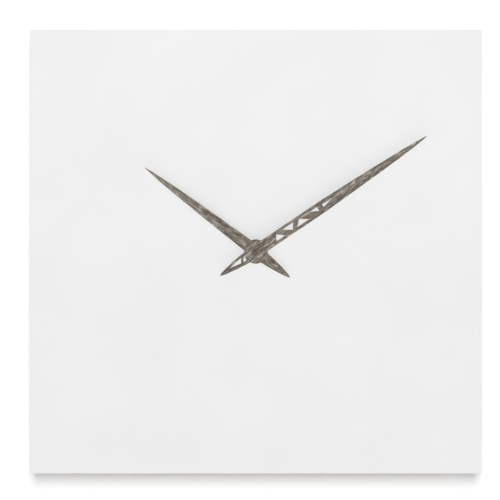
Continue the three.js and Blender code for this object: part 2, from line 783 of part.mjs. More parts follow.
function addMotor() {
  const left = coilX - legOffset;
  const right = coilX + legOffset;
  const legBottom = (bandBottom + bandTop) / 2;
  const legTop = coilY + coreWidth / 2;
  const legs = [left, right].map((x) => block(
    statorLeg, legTop - legBottom, statorLayer.back, statorLayer.front, x, (legTop + legBottom) / 2,
  ));
  const band = block(right - left + statorLeg, statorBand, statorLayer.back, statorLayer.front, coilX,
    legBottom);
  const boltHoles = motorScrewPlaces().map((place) => rod(
    motorScrewRadius + screwClearance,
    statorLayer.back - overcut,
    coreLayer.front + overcut,
    place,
    sides.pin,
  ));
  const holeRadius = magnetRadius + magnetAirGap;
  const eye = rod(holeRadius + statorRing, statorLayer.back, statorLayer.front, rotorAxis, sides.bush);
  addPiece("stator", "steel", cut(
    join(band, ...legs, eye),
    rod(holeRadius, statorLayer.back - overcut, statorLayer.front + overcut, rotorAxis, sides.bush),
    ...boltHoles,
  ));
  addPiece("coil_core", "steel", cut(
    block(right - left + statorLeg, coreWidth, coreLayer.back, coreLayer.front, coilX, coilY),
    ...boltHoles,
  ));

  const coilBack = coilCentreDepth - coilDepth / 2;
  const coilFront = coilCentreDepth + coilDepth / 2;
  const barrel = {
    height: coreWidth + 2 * fitClearance,
    back: coreLayer.back - fitClearance,
    front: coreLayer.front + fitClearance,
  };
  const tube = block(coilLength, barrel.height + 2 * bobbinWall, barrel.back - bobbinWall,
    barrel.front + bobbinWall, coilX, coilY);
  const flanges = [-1, 1].map((side) => block(flangeThickness, coilHeight, coilBack, coilFront,
    coilX + (side * (coilLength - flangeThickness)) / 2, coilY));
  const channel = block(coilLength + 2 * overcut, barrel.height, barrel.back, barrel.front, coilX, coilY);
  addPiece("coil_bobbin", "whitePlastic", cut(join(tube, ...flanges), channel));
  const woundLength = coilLength - 2 * flangeThickness - 2 * fitClearance;
  const windingBottom = coilY - coilHeight / 2 + windingInset;
  const windingTop = coilY + coilHeight / 2 - windingInset;
  const halfWound = woundLength / 2;
  const winding = slab(
    roundedRectangle(coilX - halfWound, coilX + halfWound, windingBottom, windingTop, windingCorner),
    coilBack + windingInset,
    coilFront - windingInset,
    curveSteps.corner,
  );
  const around = bobbinWall + fitClearance;
  const hollow = block(woundLength + 2 * overcut, barrel.height + 2 * around, barrel.back - around,
    barrel.front + around, coilX, coilY);
  addPiece("coil_winding", "copper", cut(winding, hollow));

  motorScrewPlaces().forEach((place, index) => {
    addPiece(index === 0 ? "motor_screw_left" : "motor_screw_right", "steel", join(
      rod(motorScrewRadius, statorLayer.back - motorScrewHeadHeight / 2, frontInner, place, sides.pin),
      rod(motorScrewHeadRadius, statorLayer.back - motorScrewHeadHeight, statorLayer.back, place),
    ));
  });
}

// Circuit board, contacts and battery

function addElectrics() {
  const board = block(boardWidth, boardHeight, bridgeLayer.front, boardFront, 0, boardY);
  addPiece("circuit_board", "board", board);
  addPiece("chip_cap", "ferrite", turned([
    [0, boardFront],
    ...chipProfile.map(([radius, height]) => [radius, boardFront + height]),
    [0, boardFront + chipHeight],
  ], { x: chipX, y: boardY }));
  const can = new THREE.CylinderGeometry(crystalRadius, crystalRadius, crystalLength, sides.arbor);
  can.rotateZ(Math.PI / 2).translate(crystalX, boardY, boardFront + crystalRadius);
  addPiece("quartz_crystal", "steel", can);

  const tabBottom = boardY - boardHeight / 2;
  const tabTop = tabBottom + contactTabWidth;
  const tabInner = boardWidth / 2 - contactTabWidth;
  const stripBottom = batteryY - batteryRadius / 2;
  for (const [name, side, clearance] of [
    ["positive_contact", 1, contactClearance.positive],
    ["negative_contact", -1, contactClearance.negative],
  ]) {
    const outside = innerHalfWidth - clearance;
    const strip = block(
      contactThickness,
      tabTop - stripBottom,
      boardFront,
      frontInner - contactStop,
      side * (outside - contactThickness / 2),
      (tabTop + stripBottom) / 2,
    );
    const tab = block(
      outside - tabInner,
      contactTabWidth,
      boardFront,
      boardFront + contactThickness,
      (side * (outside + tabInner)) / 2,
      (tabTop + tabBottom) / 2,
    );
    addPiece(name, "zinc", join(strip, tab));
  }

  const end = batteryLength / 2;
  const shoulder = end - batteryNubLength;
  const profile = [
    [0, -end],
    [batteryRadius - cellCrimp.inner, -end],
    [batteryRadius - cellCrimp.outer, -end + cellCrimp.recess],
    [batteryRadius - cellBevel, -end + cellCrimp.recess],
    [batteryRadius, -end + cellCrimp.rise],
    [batteryRadius, shoulder - cellBevel],
    [batteryRadius - cellBevel, shoulder],
    [batteryNubRadius, shoulder],
    [batteryNubRadius, end],
    [0, end],
  ].map(([radius, along]) => new THREE.Vector2(radius, along));
  const cell = new THREE.LatheGeometry(profile, sides.bush).rotateZ(-Math.PI / 2);
  addPiece("battery_cell", "cellSleeve", cell.translate(0, batteryY, batteryDepth));
}

// Hands, each drawn along +x and then turned to its place

function handOutline(hand) {
  const root = Math.sqrt(hubRadius ** 2 - hand.halfWidth ** 2);
  const tailRoot = Math.sqrt(hubRadius ** 2 - hand.tailHalfWidth ** 2);
  const start = Math.max(hand.straight, root);
  const taperX = start + hand.taper[0] * (hand.reach - start);
  const taperY = hand.taper[1] * hand.halfWidth;
  const tailX = -tailRoot - tailTaper[0] * (hand.tail - tailRoot);
  const tailY = tailTaper[1] * hand.tailHalfWidth;
  const bladeAngle = Math.asin(hand.halfWidth / hubRadius);
  const tailAngle = Math.PI - Math.asin(hand.tailHalfWidth / hubRadius);
  const shape = new THREE.Shape();
  shape.moveTo(hand.reach, 0);
  shape.quadraticCurveTo(taperX, taperY, start, hand.halfWidth);
  shape.absarc(0, 0, hubRadius, bladeAngle, tailAngle);
  shape.quadraticCurveTo(tailX, tailY, -hand.tail, 0);
  shape.quadraticCurveTo(tailX, -tailY, -tailRoot, -hand.tailHalfWidth);
  shape.absarc(0, 0, hubRadius, 2 * Math.PI - tailAngle, 2 * Math.PI - bladeAngle);
  shape.lineTo(start, -hand.halfWidth);
  shape.quadraticCurveTo(taperX, -taperY, hand.reach, 0);
  return shape;
}

function windowPath(corners, halfSpace) {
  return new THREE.Path(corners.map(([along, share]) => new THREE.Vector2(along, share * halfSpace)));
}

function turnHand(geometry, hand) {
  return geometry.rotateZ(THREE.MathUtils.degToRad(hand.angle));
}

function addHourHand() {
  const bushRadius = hourTubeRadius + hourBushWall;
  const boreRadius = hourTubeRadius + glueGap;
  const blade = cut(
    slab(handOutline(hourHand), hourHandBack, hourHandFront),
    rod(bushRadius + glueGap, hourHandBack - overcut, hourHandFront + overcut, shaft, sides.bush),
  );
  addPiece("hour_hand", "veneer", turnHand(blade, hourHand));
  addPiece("hour_hand_bush", "brass", cut(
    join(
      rod(bushFlangeRadius, hourBushBack, hourHandBack, shaft, sides.bush),
      rod(bushRadius, hourBushBack, hourTubeFront, shaft, sides.bush),
    ),
    rod(boreRadius, hourBushBack - overcut, hourHandFront + overcut, shaft, sides.bush),
  ));
}

function addMinuteHand() {
  const outline = handOutline(minuteHand);
  const halfSpace = minuteHand.halfWidth - handRail;
  const bushFront = minuteHandBack + minuteBushDepth;
  for (const corners of [...bladeWindows, ...tailWindows]) {
    outline.holes.push(windowPath(corners, halfSpace));
  }
  const blade = cut(
    slab(outline, minuteHandBack, minuteHandFront),
    rod(minuteBushRadius + glueGap, minuteHandBack - overcut, bushFront + glueGap, shaft, sides.bush),
  );
  addPiece("minute_hand", "veneer", turnHand(blade, minuteHand));
  addPiece("minute_hand_bush", "brass", cut(
    join(
      rod(bushFlangeRadius, minuteBushBack, minuteHandBack, shaft, sides.bush),
      rod(minuteBushRadius, minuteBushBack, bushFront, shaft, sides.bush),
    ),
    rod(cannonRadius + glueGap, minuteBushBack - overcut, bushFront + overcut),
  ));
}

addPanel();
addRails();
addHangers();
addCase();
addBridge();
addStem();
addRunningTrain();
addMotionWork();
addHandSetting();
addMotor();
addElectrics();
addHourHand();
addMinuteHand();

// The origin is on the wall, at the middle of the top rail's back
clock.position.z = -railCentreY;

export default clock;
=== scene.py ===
import json
import math

import bmesh
import bpy
from mathutils import Matrix, Vector


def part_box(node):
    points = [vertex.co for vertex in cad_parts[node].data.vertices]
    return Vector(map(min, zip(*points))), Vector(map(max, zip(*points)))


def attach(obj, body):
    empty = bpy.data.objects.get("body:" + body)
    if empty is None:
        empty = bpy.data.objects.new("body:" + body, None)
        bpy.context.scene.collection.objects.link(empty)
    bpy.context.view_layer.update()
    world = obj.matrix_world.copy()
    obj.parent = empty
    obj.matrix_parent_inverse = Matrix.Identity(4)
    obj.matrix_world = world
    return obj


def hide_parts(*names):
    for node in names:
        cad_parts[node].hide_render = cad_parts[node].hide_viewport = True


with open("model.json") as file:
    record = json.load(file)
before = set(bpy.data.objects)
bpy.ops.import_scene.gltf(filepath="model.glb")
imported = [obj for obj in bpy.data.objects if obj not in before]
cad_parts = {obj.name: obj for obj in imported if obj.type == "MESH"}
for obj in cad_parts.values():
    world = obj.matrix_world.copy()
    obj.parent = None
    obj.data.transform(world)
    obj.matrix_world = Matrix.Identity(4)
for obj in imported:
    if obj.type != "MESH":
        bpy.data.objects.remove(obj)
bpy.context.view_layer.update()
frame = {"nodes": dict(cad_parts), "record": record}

mm = 0.001
# the hands turn about this point, along Y
shaft = (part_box("flat_washer")[0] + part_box("flat_washer")[1]) / 2
nodesOf = frame["record"]["behaviour"]["bodies"]
bodyOf = {node: body for body, nodes in nodesOf.items() for node in nodes}
slotOf = {part["node"]: part["material_slot"] for part in frame["record"]["subparts"]}


def paint(red, green, blue):
    # a colour as the eye sees it, 0 to 255, made linear
    parts = [part / 255 for part in (red, green, blue)]
    return tuple(p / 12.92 if p <= 0.04045 else ((p + 0.055) / 1.055) ** 2.4 for p in parts) + (1,)


# Nodes


class Value:
    # an output that sums can be written on

    def __init__(self, graph, socket):
        self.graph = graph
        self.socket = socket

    def sum(self, operation, first, second):
        made = self.graph.node("ShaderNodeMath", {"operation": operation}, {0: first, 1: second})
        return made["Value"]

    def __add__(self, other):
        return self.sum("ADD", self, other)

    def __radd__(self, other):
        return self.sum("ADD", other, self)

    def __sub__(self, other):
        return self.sum("SUBTRACT", self, other)

    def __rsub__(self, other):
        return self.sum("SUBTRACT", other, self)

    def __mul__(self, other):
        return self.sum("MULTIPLY", self, other)

    def __rmul__(self, other):
        return self.sum("MULTIPLY", other, self)

    def __truediv__(self, other):
        return self.sum("DIVIDE", self, other)

    def __rtruediv__(self, other):
        return self.sum("DIVIDE", other, self)

    def __pow__(self, other):
        return self.sum("POWER", self, other)

    def above(self, other):
        return self.sum("GREATER_THAN", self, other)

    def larger(self, other):
        return self.sum("MAXIMUM", self, other)

    def wave(self):
        return self.sum("SINE", self, 0)


class Made:
    # a node that was made, asked for its outputs by name or number

    def __init__(self, graph, node):
        self.graph = graph
        self.node = node

    def __getitem__(self, output):
        return Value(self.graph, self.node.outputs[output])


class Graph:
    def __init__(self, tree):
        self.tree = tree

    def node(self, kind, settings=None, sockets=None):
        node = self.tree.nodes.new(kind)
        for name, value in (settings or {}).items():
            if name == "stops":
                self.setStops(node.color_ramp, value)
            else:
                setattr(node, name, value)
        for name, value in (sockets or {}).items():
            for given in value if isinstance(value, list) else [value]:
                if isinstance(given, Value):
                    self.tree.links.new(given.socket, node.inputs[name])
                else:
                    node.inputs[name].default_value = given
        return Made(self, node)

    def setStops(self, ramp, stops):
        while len(ramp.elements) > 1:
            ramp.elements.remove(ramp.elements[-1])
        for index, (place, colour) in enumerate(stops):
            stop = ramp.elements[0] if index == 0 else ramp.elements.new(place)
            stop.position = place
            stop.color = colour


class Surface(Graph):
    # a material that is being put together

    def __init__(self, name):
        self.material = bpy.data.materials.new(name)
        self.material.use_nodes = True
        super().__init__(self.material.node_tree)
        self.tree.nodes.clear()
        self.place = self.node("ShaderNodeTexCoord")["Object"]

    def along(self, scale=(1, 1, 1), turn=(0, 0, 0), shift=(0, 0, 0), start=None):
        sockets = {
            "Vector": start or self.place,
            "Scale": scale,
            "Rotation": turn,
            "Location": shift,
        }
        return self.node("ShaderNodeMapping", {}, sockets)["Vector"]

    def axes(self, vector=None):
        made = self.node("ShaderNodeSeparateXYZ", {}, {"Vector": vector or self.place})
        return made["X"], made["Y"], made["Z"]

    def noise(self, vector=None, scale=1.0, detail=3.0, rough=0.5, twist=0.0):
        sockets = {
            "Vector": vector or self.place,
            "Scale": scale,
            "Detail": detail,
            "Roughness": rough,
            "Distortion": twist,
        }
        return self.node("ShaderNodeTexNoise", {}, sockets)["Fac"]

    def cells(self, vector=None, scale=1.0, feature="F1", output="Distance"):
        sockets = {"Vector": vector or self.place, "Scale": scale}
        return self.node("ShaderNodeTexVoronoi", {"feature": feature}, sockets)[output]

    def ramp(self, value, stops):
        return self.node("ShaderNodeValToRGB", {"stops": stops}, {"Fac": value})["Color"]

    def grey(self, value, low, high, start=0.0, end=1.0):
        # the part of value from start to end, spread over low to high
        sockets = {
            "Value": value,
            "From Min": start,
            "From Max": end,
            "To Min": low,
            "To Max": high,
        }
        return self.node("ShaderNodeMapRange", {"clamp": True}, sockets)["Result"]

    def mix(self, share, first, second):
        settings = {"data_type": "RGBA", "blend_type": "MIX", "clamp_factor": True}
        return self.node("ShaderNodeMix", settings, {0: share, 6: first, 7: second})[2]

    def bump(self, height, depth, under=None):
        sockets = {"Height": height, "Distance": depth, "Strength": 1.0}
        if under:
            sockets["Normal"] = under
        return self.node("ShaderNodeBump", {}, sockets)["Normal"]

    def finish(self, **sockets):
        # the shader's sockets are given by their names, with the spaces left out
        shader = self.node("ShaderNodeBsdfPrincipled")
        named = {socket.name.replace(" ", "").lower(): socket.name for socket in shader.node.inputs}
        for name, value in sockets.items():
            socket = shader.node.inputs[named[name.lower()]]
            if isinstance(value, Value):
                self.tree.links.new(value.socket, socket)
            else:
                socket.default_value = value
        self.node("ShaderNodeOutputMaterial", {}, {"Surface": shader["BSDF"]})
        return self.material


class Growth(Graph):
    # a geometry tree with named inputs, and what it grows

    def __init__(self, name, inputs):
        super().__init__(bpy.data.node_groups.new(name, "GeometryNodeTree"))
        self.name = name
        self.inputs = inputs
        self.tree.interface.new_socket("Places", in_out="INPUT", socket_type="NodeSocketGeometry")
        for label in inputs:
            self.tree.interface.new_socket(label, in_out="INPUT", socket_type="NodeSocketFloat")
        self.tree.interface.new_socket("Mesh", in_out="OUTPUT", socket_type="NodeSocketGeometry")
        self.given = self.node("NodeGroupInput")

    def solid(self, body, *tools, operation="DIFFERENCE"):
        if operation == "DIFFERENCE":
            sockets = {"Mesh 1": body, "Mesh 2": list(tools)}
        else:
            sockets = {"Mesh 2": [body, *tools]}
        settings = {"operation": operation, "solver": "EXACT"}
        return self.node("GeometryNodeMeshBoolean", settings, sockets)["Mesh"]

    def moved(self, geometry, shift=(0, 0, 0), turn=(0, 0, 0)):
        sockets = {"Geometry": geometry, "Translation": shift, "Rotation": turn}
        return self.node("GeometryNodeTransform", {}, sockets)["Geometry"]

    def vector(self, x=0.0, y=0.0, z=0.0):
        return self.node("ShaderNodeCombineXYZ", {}, {"X": x, "Y": y, "Z": z})["Vector"]

    def drum(self, radius, depth, sides=32):
        sockets = {"Vertices": sides, "Radius": radius, "Depth": depth}
        return self.node("GeometryNodeMeshCylinder", {}, sockets)["Mesh"]

    def cone(self, top, bottom, depth, sides=32):
        sockets = {"Vertices": sides, "Radius Top": top, "Radius Bottom": bottom, "Depth": depth}
        return self.node("GeometryNodeMeshCone", {}, sockets)["Mesh"]

    def brick(self, x, y, z):
        return self.node("GeometryNodeMeshCube", {}, {"Size": self.vector(x, y, z)})["Mesh"]

    def copies(self, points, piece):
        sockets = {"Points": points, "Instance": piece}
        return self.node("GeometryNodeInstanceOnPoints", {}, sockets)["Instances"]

    def swept(self, curve, radius, sides):
        # a round wire along a curve
        circle = {"Resolution": sides, "Radius": radius}
        profile = self.node("GeometryNodeCurvePrimitiveCircle", {}, circle)["Curve"]
        sockets = {"Curve": curve, "Profile Curve": profile, "Fill Caps": True}
        return self.node("GeometryNodeCurveToMesh", {}, sockets)["Mesh"]

    def grow(self, geometry, surface, places=()):
        # ends the tree, runs it on a mesh of loose points and returns one plain object
        plain = self.node("GeometryNodeRealizeInstances", {}, {"Geometry": geometry})["Geometry"]
        dressed = self.node("GeometryNodeSetMaterial", {}, {"Geometry": plain, "Material": surface})
        self.node("NodeGroupOutput", {}, {"Mesh": dressed["Geometry"]})
        seed = bpy.data.meshes.new(self.name)
        seed.from_pydata([tuple(place) for place in places], [], [])
        grown = newPiece(self.name, seed)
        modifier = grown.modifiers.new("growth", "NODES")
        modifier.node_group = self.tree
        for item in self.tree.interface.items_tree:
            if item.in_out == "INPUT" and item.name in self.inputs:
                modifier[item.identifier] = self.inputs[item.name]
        shape = grown.evaluated_get(bpy.context.evaluated_depsgraph_get())
        mesh = bpy.data.meshes.new_from_object(shape)
        grown.modifiers.remove(modifier)
        grown.data = mesh
        return grown


# Pieces


def newPiece(name, mesh):
    piece = bpy.data.objects.new(name, mesh)
    bpy.context.scene.collection.objects.link(piece)
    return piece


edgeWidth = {
    "panel": 0.6 * mm,
    "hand": 0.22 * mm,
    "rail": 0.5 * mm,
    "plate": 0.15 * mm,
    "flatWasher": 0.12 * mm,
    "rubberWasher": 0.2 * mm,
    "nut": 0.08 * mm,
    "stem": 0.06 * mm,
    "bush": 0.06 * mm,
    "case": 0.2 * mm,
    "contact": 0.06 * mm,
    "knob": 0.07 * mm,
    "cell": 0.1 * mm,
}


def softened(piece, width, segments=3, smooth=32):
    # eased edges and smooth round sides
    easedFrom = math.radians(35)
    piece.data.shade_smooth()
    piece.data.set_sharp_from_angle(angle=math.radians(smooth))
    if width:
        bevel = piece.modifiers.new("easedEdge", "BEVEL")
        bevel.width = width
        bevel.segments = segments
        bevel.limit_method = "ANGLE"
        bevel.angle_limit = easedFrom
        bevel.harden_normals = True
    return piece


def placed(piece, material, body, slot, *nodes):
    # what every finished piece needs: its finish, its body and the CAD nodes it stands for
    piece.data.materials.clear()
    piece.data.materials.append(material)
    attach(piece, body)
    if nodes:
        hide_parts(*nodes)
    return piece


def fromBmesh(name, work):
    bmesh.ops.remove_doubles(work, verts=work.verts, dist=1e-7)
    bmesh.ops.recalc_face_normals(work, faces=work.faces)
    mesh = bpy.data.meshes.new(name)
    work.to_mesh(mesh)
    work.free()
    return newPiece(name, mesh)


def copyOfNode(node, name):
    # the CAD node's shape as one clean mesh
    work = bmesh.new()
    work.from_mesh(frame["nodes"][node].data)
    bmesh.ops.remove_doubles(work, verts=work.verts, dist=1e-6)
    flat = math.radians(0.5)
    bmesh.ops.dissolve_limit(work, angle_limit=flat, verts=work.verts, edges=work.edges)
    mesh = bpy.data.meshes.new(name)
    work.to_mesh(mesh)
    work.free()
    for layer in ("custom_normal", "sharp_face", "sharp_edge"):
        if layer in mesh.attributes:
            mesh.attributes.remove(mesh.attributes[layer])
    return newPiece(name, mesh)


def eased(node, name, material, width, **edges):
    piece = softened(copyOfNode(node, name), width, **edges)
    return placed(piece, material, bodyOf[node], slotOf[node], node)


def lathe(name, profile, centre, axis="Y"):
    # profile holds (radius, distance along the axis), from one end round to the other or closed
    sides = 96
    work = bmesh.new()
    turns = [2 * math.pi * side / sides for side in range(sides)]
    rings = []
    for radius, along in profile:
        if radius == 0:
            rings.append([work.verts.new((0, 0, along))] * sides)
        else:
            places = [(radius * math.cos(turn), radius * math.sin(turn), along) for turn in turns]
            rings.append([work.verts.new(place) for place in places])
    for lower, upper in zip(rings, rings[1:]):
        for side in range(sides):
            after = (side + 1) % sides
            corners = [lower[side], lower[after], upper[after], upper[side]]
            corners = [c for i, c in enumerate(corners) if c not in corners[:i]]
            if len(corners) > 2:
                work.faces.new(corners)
    quarter, about = {"Y": (-90, "X"), "X": (90, "Y")}[axis]
    laid = Matrix.Rotation(math.radians(quarter), 4, about)
    work.transform(Matrix.Translation(centre) @ laid)
    return fromBmesh(name, work)


def ringProfile(inner, outer, start, end):
    return [(inner, start), (outer, start), (outer, end), (inner, end), (inner, start)]


def plateOf(name, outlines, back, front):
    # flat shapes in the view from the front, (x, z) in metres, given a thickness along Y
    work = bmesh.new()
    for outline in outlines:
        face = work.faces.new([work.verts.new((x, back, z)) for x, z in outline])
        raised = bmesh.ops.extrude_face_region(work, geom=[face])
        tops = [part for part in raised["geom"] if isinstance(part, bmesh.types.BMVert)]
        bmesh.ops.translate(work, verts=tops, vec=(0, front - back, 0))
    return fromBmesh(name, work)


# Finishes


def satinLacquer():
    look = {"tone": paint(229, 229, 229), "worn": paint(224, 224, 224), "ripple": 0.02 * mm}
    s = Surface("satinLacquer")
    cloud = s.noise(scale=14, detail=2)
    dust = s.noise(scale=900, detail=2)
    ripple = s.noise(scale=420, detail=3, rough=0.55)
    wear = s.grey(cloud, 0, 0.5, 0.3, 0.75) + s.grey(dust, 0, 0.2, 0.55, 0.8)
    tone = s.mix(wear, look["tone"], look["worn"])
    gloss = s.grey(cloud, 0.58, 0.66) + s.grey(dust, 0, 0.06, 0.4, 0.7)
    relief = s.bump(ripple, look["ripple"])
    return s.finish(basecolor=tone, roughness=gloss, normal=relief, ior=1.38)


def greyOak(name, angle):
    # open-pored veneer, its grain along a hand that stands at this angle
    look = {
        "stops": [
            (0.39, paint(54, 46, 38)),
            (0.455, paint(86, 76, 66)),
            (0.50, paint(113, 103, 92)),
            (0.545, paint(141, 131, 119)),
            (0.61, paint(187, 178, 166)),
        ],
        "pore": paint(62, 53, 45),
        "poreDepth": 0.06 * mm,
        "fleckDepth": 0.012 * mm,
        "wander": 1.8 * mm,
    }
    s = Surface(name)
    turned = Matrix.Rotation(angle, 3, "Y") @ shaft
    grain = s.along(turn=(0, angle, 0), shift=tuple(-turned))
    wander = s.noise(s.along(scale=(16, 40, 40), start=grain), detail=2)
    bent = s.node("ShaderNodeVectorMath", {"operation": "ADD"}, {
        0: grain,
        1: s.node("ShaderNodeCombineXYZ", {}, {"Z": (wander - 0.5) * look["wander"]})["Vector"],
    })["Vector"]
    bands = s.noise(s.along(scale=(9, 120, 300), start=bent), detail=3)
    streaks = s.noise(s.along(scale=(46, 480, 700), start=bent), detail=3, rough=0.6)
    flecks = s.noise(s.along(scale=(150, 950, 1050), start=bent), detail=3, rough=0.65)
    pores = s.noise(s.along(scale=(170, 1000, 1500), start=bent), detail=1)
    openPores = s.grey(pores, 0, 1, 0.56, 0.63)
    tone = s.ramp(bands * 0.18 + streaks * 0.28 + flecks * 0.54, look["stops"])
    tone = s.mix(openPores * 0.85, tone, look["pore"])
    fine = s.bump(flecks, look["fleckDepth"])
    deep = s.bump(1 - openPores, look["poreDepth"], under=fine)
    gloss = s.grey(streaks, 0.52, 0.66, 0.3, 0.7) + openPores * 0.15
    return s.finish(basecolor=tone, roughness=gloss, normal=deep)


def pine(name, turn, pith):
    # planed softwood: rings about a pith line that lies beside the rail
    look = {
        "early": paint(216, 197, 163),
        "late": paint(180, 145, 103),
        "heart": paint(199, 170, 130),
        "knot": paint(112, 70, 40),
        "ringsPerMetre": 330,
        "lateEdge": 2.6,
        "wander": 12 * mm,
        "relief": 0.05 * mm,
    }
    s = Surface(name)
    grain = s.along(turn=turn, shift=pith)
    wander = s.noise(s.along(scale=(2.2, 14, 14), start=grain), detail=2) - 0.5
    y, z = s.axes(grain)[1:]
    radius = (y * y + z * z) ** 0.5 + wander * look["wander"]
    ring = (radius * look["ringsPerMetre"] * 2 * math.pi).wave() * 0.5 + 0.5
    late = ring ** look["lateEdge"]
    fibre = s.noise(s.along(scale=(45, 1300, 1300), start=grain), detail=4, rough=0.6)
    cloud = s.noise(s.along(scale=(5, 40, 40), start=grain), detail=2)
    knots = s.cells(s.along(scale=(5.5, 30, 30), start=grain), scale=1)
    knot = s.grey(knots, 1, 0, 0.05, 0.13)
    tone = s.mix(late * 0.75, look["early"], look["late"])
    tone = s.mix(s.grey(cloud, 0, 0.55, 0.35, 0.7), tone, look["heart"])
    tone = s.mix(s.grey(fibre, 0.28, 0, 0.3, 0.6), tone, look["late"])
    tone = s.mix(knot, tone, look["knot"])
    gloss = s.grey(fibre, 0.62, 0.8, 0.3, 0.7)
    relief = s.bump(fibre * 0.6 + late * 0.4, look["relief"])
    return s.finish(basecolor=tone, roughness=gloss, normal=relief)


def platedZinc():
    s = Surface("platedZinc")
    spangle = s.cells(scale=420, output="Color")
    facets = s.axes(spangle)[0]
    cloud = s.noise(scale=160, detail=4)
    scratch = s.noise(s.along(scale=(90, 2400, 2400)), detail=3)
    tone = s.mix(facets * 0.45 + cloud * 0.3, paint(206, 209, 213), paint(158, 163, 171))
    gloss = s.grey(cloud, 0.24, 0.44, 0.3, 0.7) + s.grey(scratch, 0, 0.12, 0.5, 0.75)
    relief = s.bump(scratch, depth=0.008 * mm)
    return s.finish(basecolor=tone, metallic=1.0, roughness=gloss, normal=relief)


def turnedMetal(name, light, dark, gloss):
    # tool lines run round the shaft
    linesPerMetre = 5200
    s = Surface(name)
    x, z = s.axes(s.along(shift=(-shaft.x, 0, -shaft.z)))[::2]
    radius = (x * x + z * z) ** 0.5
    wobble = s.noise(scale=700, detail=2)
    lines = (radius * linesPerMetre + wobble * 2.5).wave() * 0.5 + 0.5
    cloud = s.noise(scale=260, detail=4, rough=0.6)
    tone = s.mix(s.grey(cloud, 0, 0.8, 0.3, 0.75), light, dark)
    rough = s.grey(cloud, gloss, gloss + 0.14, 0.3, 0.7) + lines * 0.06
    relief = s.bump(lines, depth=0.01 * mm)
    return s.finish(basecolor=tone, metallic=1.0, roughness=rough, normal=relief)


def enamelledCopper():
    wire = 0.12 * mm
    s = Surface("enamelledCopper")
    turns = (s.axes()[0] * (2 * math.pi / wire)).wave() * 0.5 + 0.5
    cloud = s.noise(scale=900, detail=3)
    tone = s.mix(turns * 0.7 + cloud * 0.3, paint(116, 54, 20), paint(206, 122, 66))
    gloss = s.grey(cloud, 0.25, 0.4)
    relief = s.bump(turns, depth=0.04 * mm)
    return s.finish(basecolor=tone, metallic=0.85, roughness=gloss, normal=relief)


def moulded(name, tone, shade, gloss, grain, spark=0.0):
    # moulded plastic: texture of this grain in mm, faint flow marks, rubbed spots
    s = Surface(name)
    texture = s.noise(scale=2600, detail=3, rough=0.6)
    flow = s.noise(s.along(scale=(30, 30, 90)), detail=2, twist=1.2)
    rubbed = s.grey(s.noise(scale=120, detail=5, rough=0.65), 0, 1, 0.56, 0.72)
    colour = s.mix(s.grey(flow, 0, 0.7, 0.3, 0.7), tone, shade)
    if spark:
        colour = s.mix(s.grey(texture, 0, spark, 0.5, 0.8), colour, paint(150, 150, 150))
    rough = s.grey(texture, gloss - 0.06, gloss + 0.08, 0.3, 0.7) - rubbed * 0.12
    relief = s.bump(texture, depth=grain * mm)
    return s.finish(basecolor=colour, roughness=rough, normal=relief)


def sinteredFerrite():
    s = Surface("sinteredFerrite")
    grains = s.cells(scale=3800)
    pits = s.grey(s.noise(scale=1500, detail=3), 0, 1, 0.62, 0.7)
    tone = s.mix(grains, paint(38, 38, 42), paint(66, 66, 70))
    gloss = s.grey(grains, 0.5, 0.72)
    relief = s.bump(grains - pits, depth=0.02 * mm)
    return s.finish(basecolor=tone, metallic=0.25, roughness=gloss, normal=relief)


def mattRubber():
    s = Surface("mattRubber")
    bloom = s.noise(scale=300, detail=4, rough=0.65)
    texture = s.noise(scale=3200, detail=2)
    tone = s.mix(s.grey(bloom, 0, 0.8, 0.45, 0.8), paint(24, 24, 26), paint(52, 52, 53))
    gloss = s.grey(bloom, 0.78, 0.92)
    relief = s.bump(texture, depth=0.02 * mm)
    return s.finish(basecolor=tone, roughness=gloss, normal=relief)


def phenolicBoard():
    s = Surface("phenolicBoard")
    fibres = s.noise(s.along(scale=(2200, 500, 300)), detail=4, rough=0.7)
    tracks = s.cells(s.along(scale=(300, 1, 260)), feature="DISTANCE_TO_EDGE")
    copper = tracks.above(0.16)
    tone = s.mix(fibres, paint(150, 112, 52), paint(106, 74, 32))
    tone = s.mix(copper * 0.4, tone, paint(172, 118, 64))
    relief = s.bump(fibres * 0.3 + copper, depth=0.02 * mm)
    return s.finish(basecolor=tone, roughness=s.grey(fibres, 0.45, 0.62), normal=relief)


def cellSleeve(cellStart, cellEnd):
    # printed film round a battery cell: plain bands, no wording
    look = {
        "body": paint(62, 92, 84),
        "bodyDark": paint(48, 74, 68),
        "band": paint(176, 150, 92),
        "line": paint(214, 214, 208),
        "steel": paint(196, 198, 200),
        "lineFrom": 0.685,
        "bandFrom": 0.70,
        "bandTo": 0.955,
        "filmFrom": 0.022,
    }
    s = Surface("cellSleeve")
    share = (s.axes()[0] - cellStart) / (cellEnd - cellStart)
    cloud = s.noise(scale=220, detail=3)
    fine = s.noise(s.along(scale=(60, 2600, 2600)), detail=2)
    film = s.mix(s.grey(cloud, 0, 1, 0.3, 0.7), look["body"], look["bodyDark"])
    bandStart = share.above(look["bandFrom"])
    bandEnd = share.above(look["bandTo"])
    band = bandStart * (1 - bandEnd)
    line = share.above(look["lineFrom"]) * (1 - bandStart)
    bare = bandEnd.larger(1 - share.above(look["filmFrom"]))
    tone = s.mix(band, film, look["band"])
    tone = s.mix(line, tone, look["line"])
    tone = s.mix(bare, tone, look["steel"])
    metal = bare.larger(band * 0.8)
    rough = s.grey(cloud, 0.2, 0.34) + s.grey(fine, 0, 0.08)
    relief = s.bump(fine, depth=0.01 * mm)
    return s.finish(basecolor=tone, metallic=metal, roughness=rough, normal=relief)


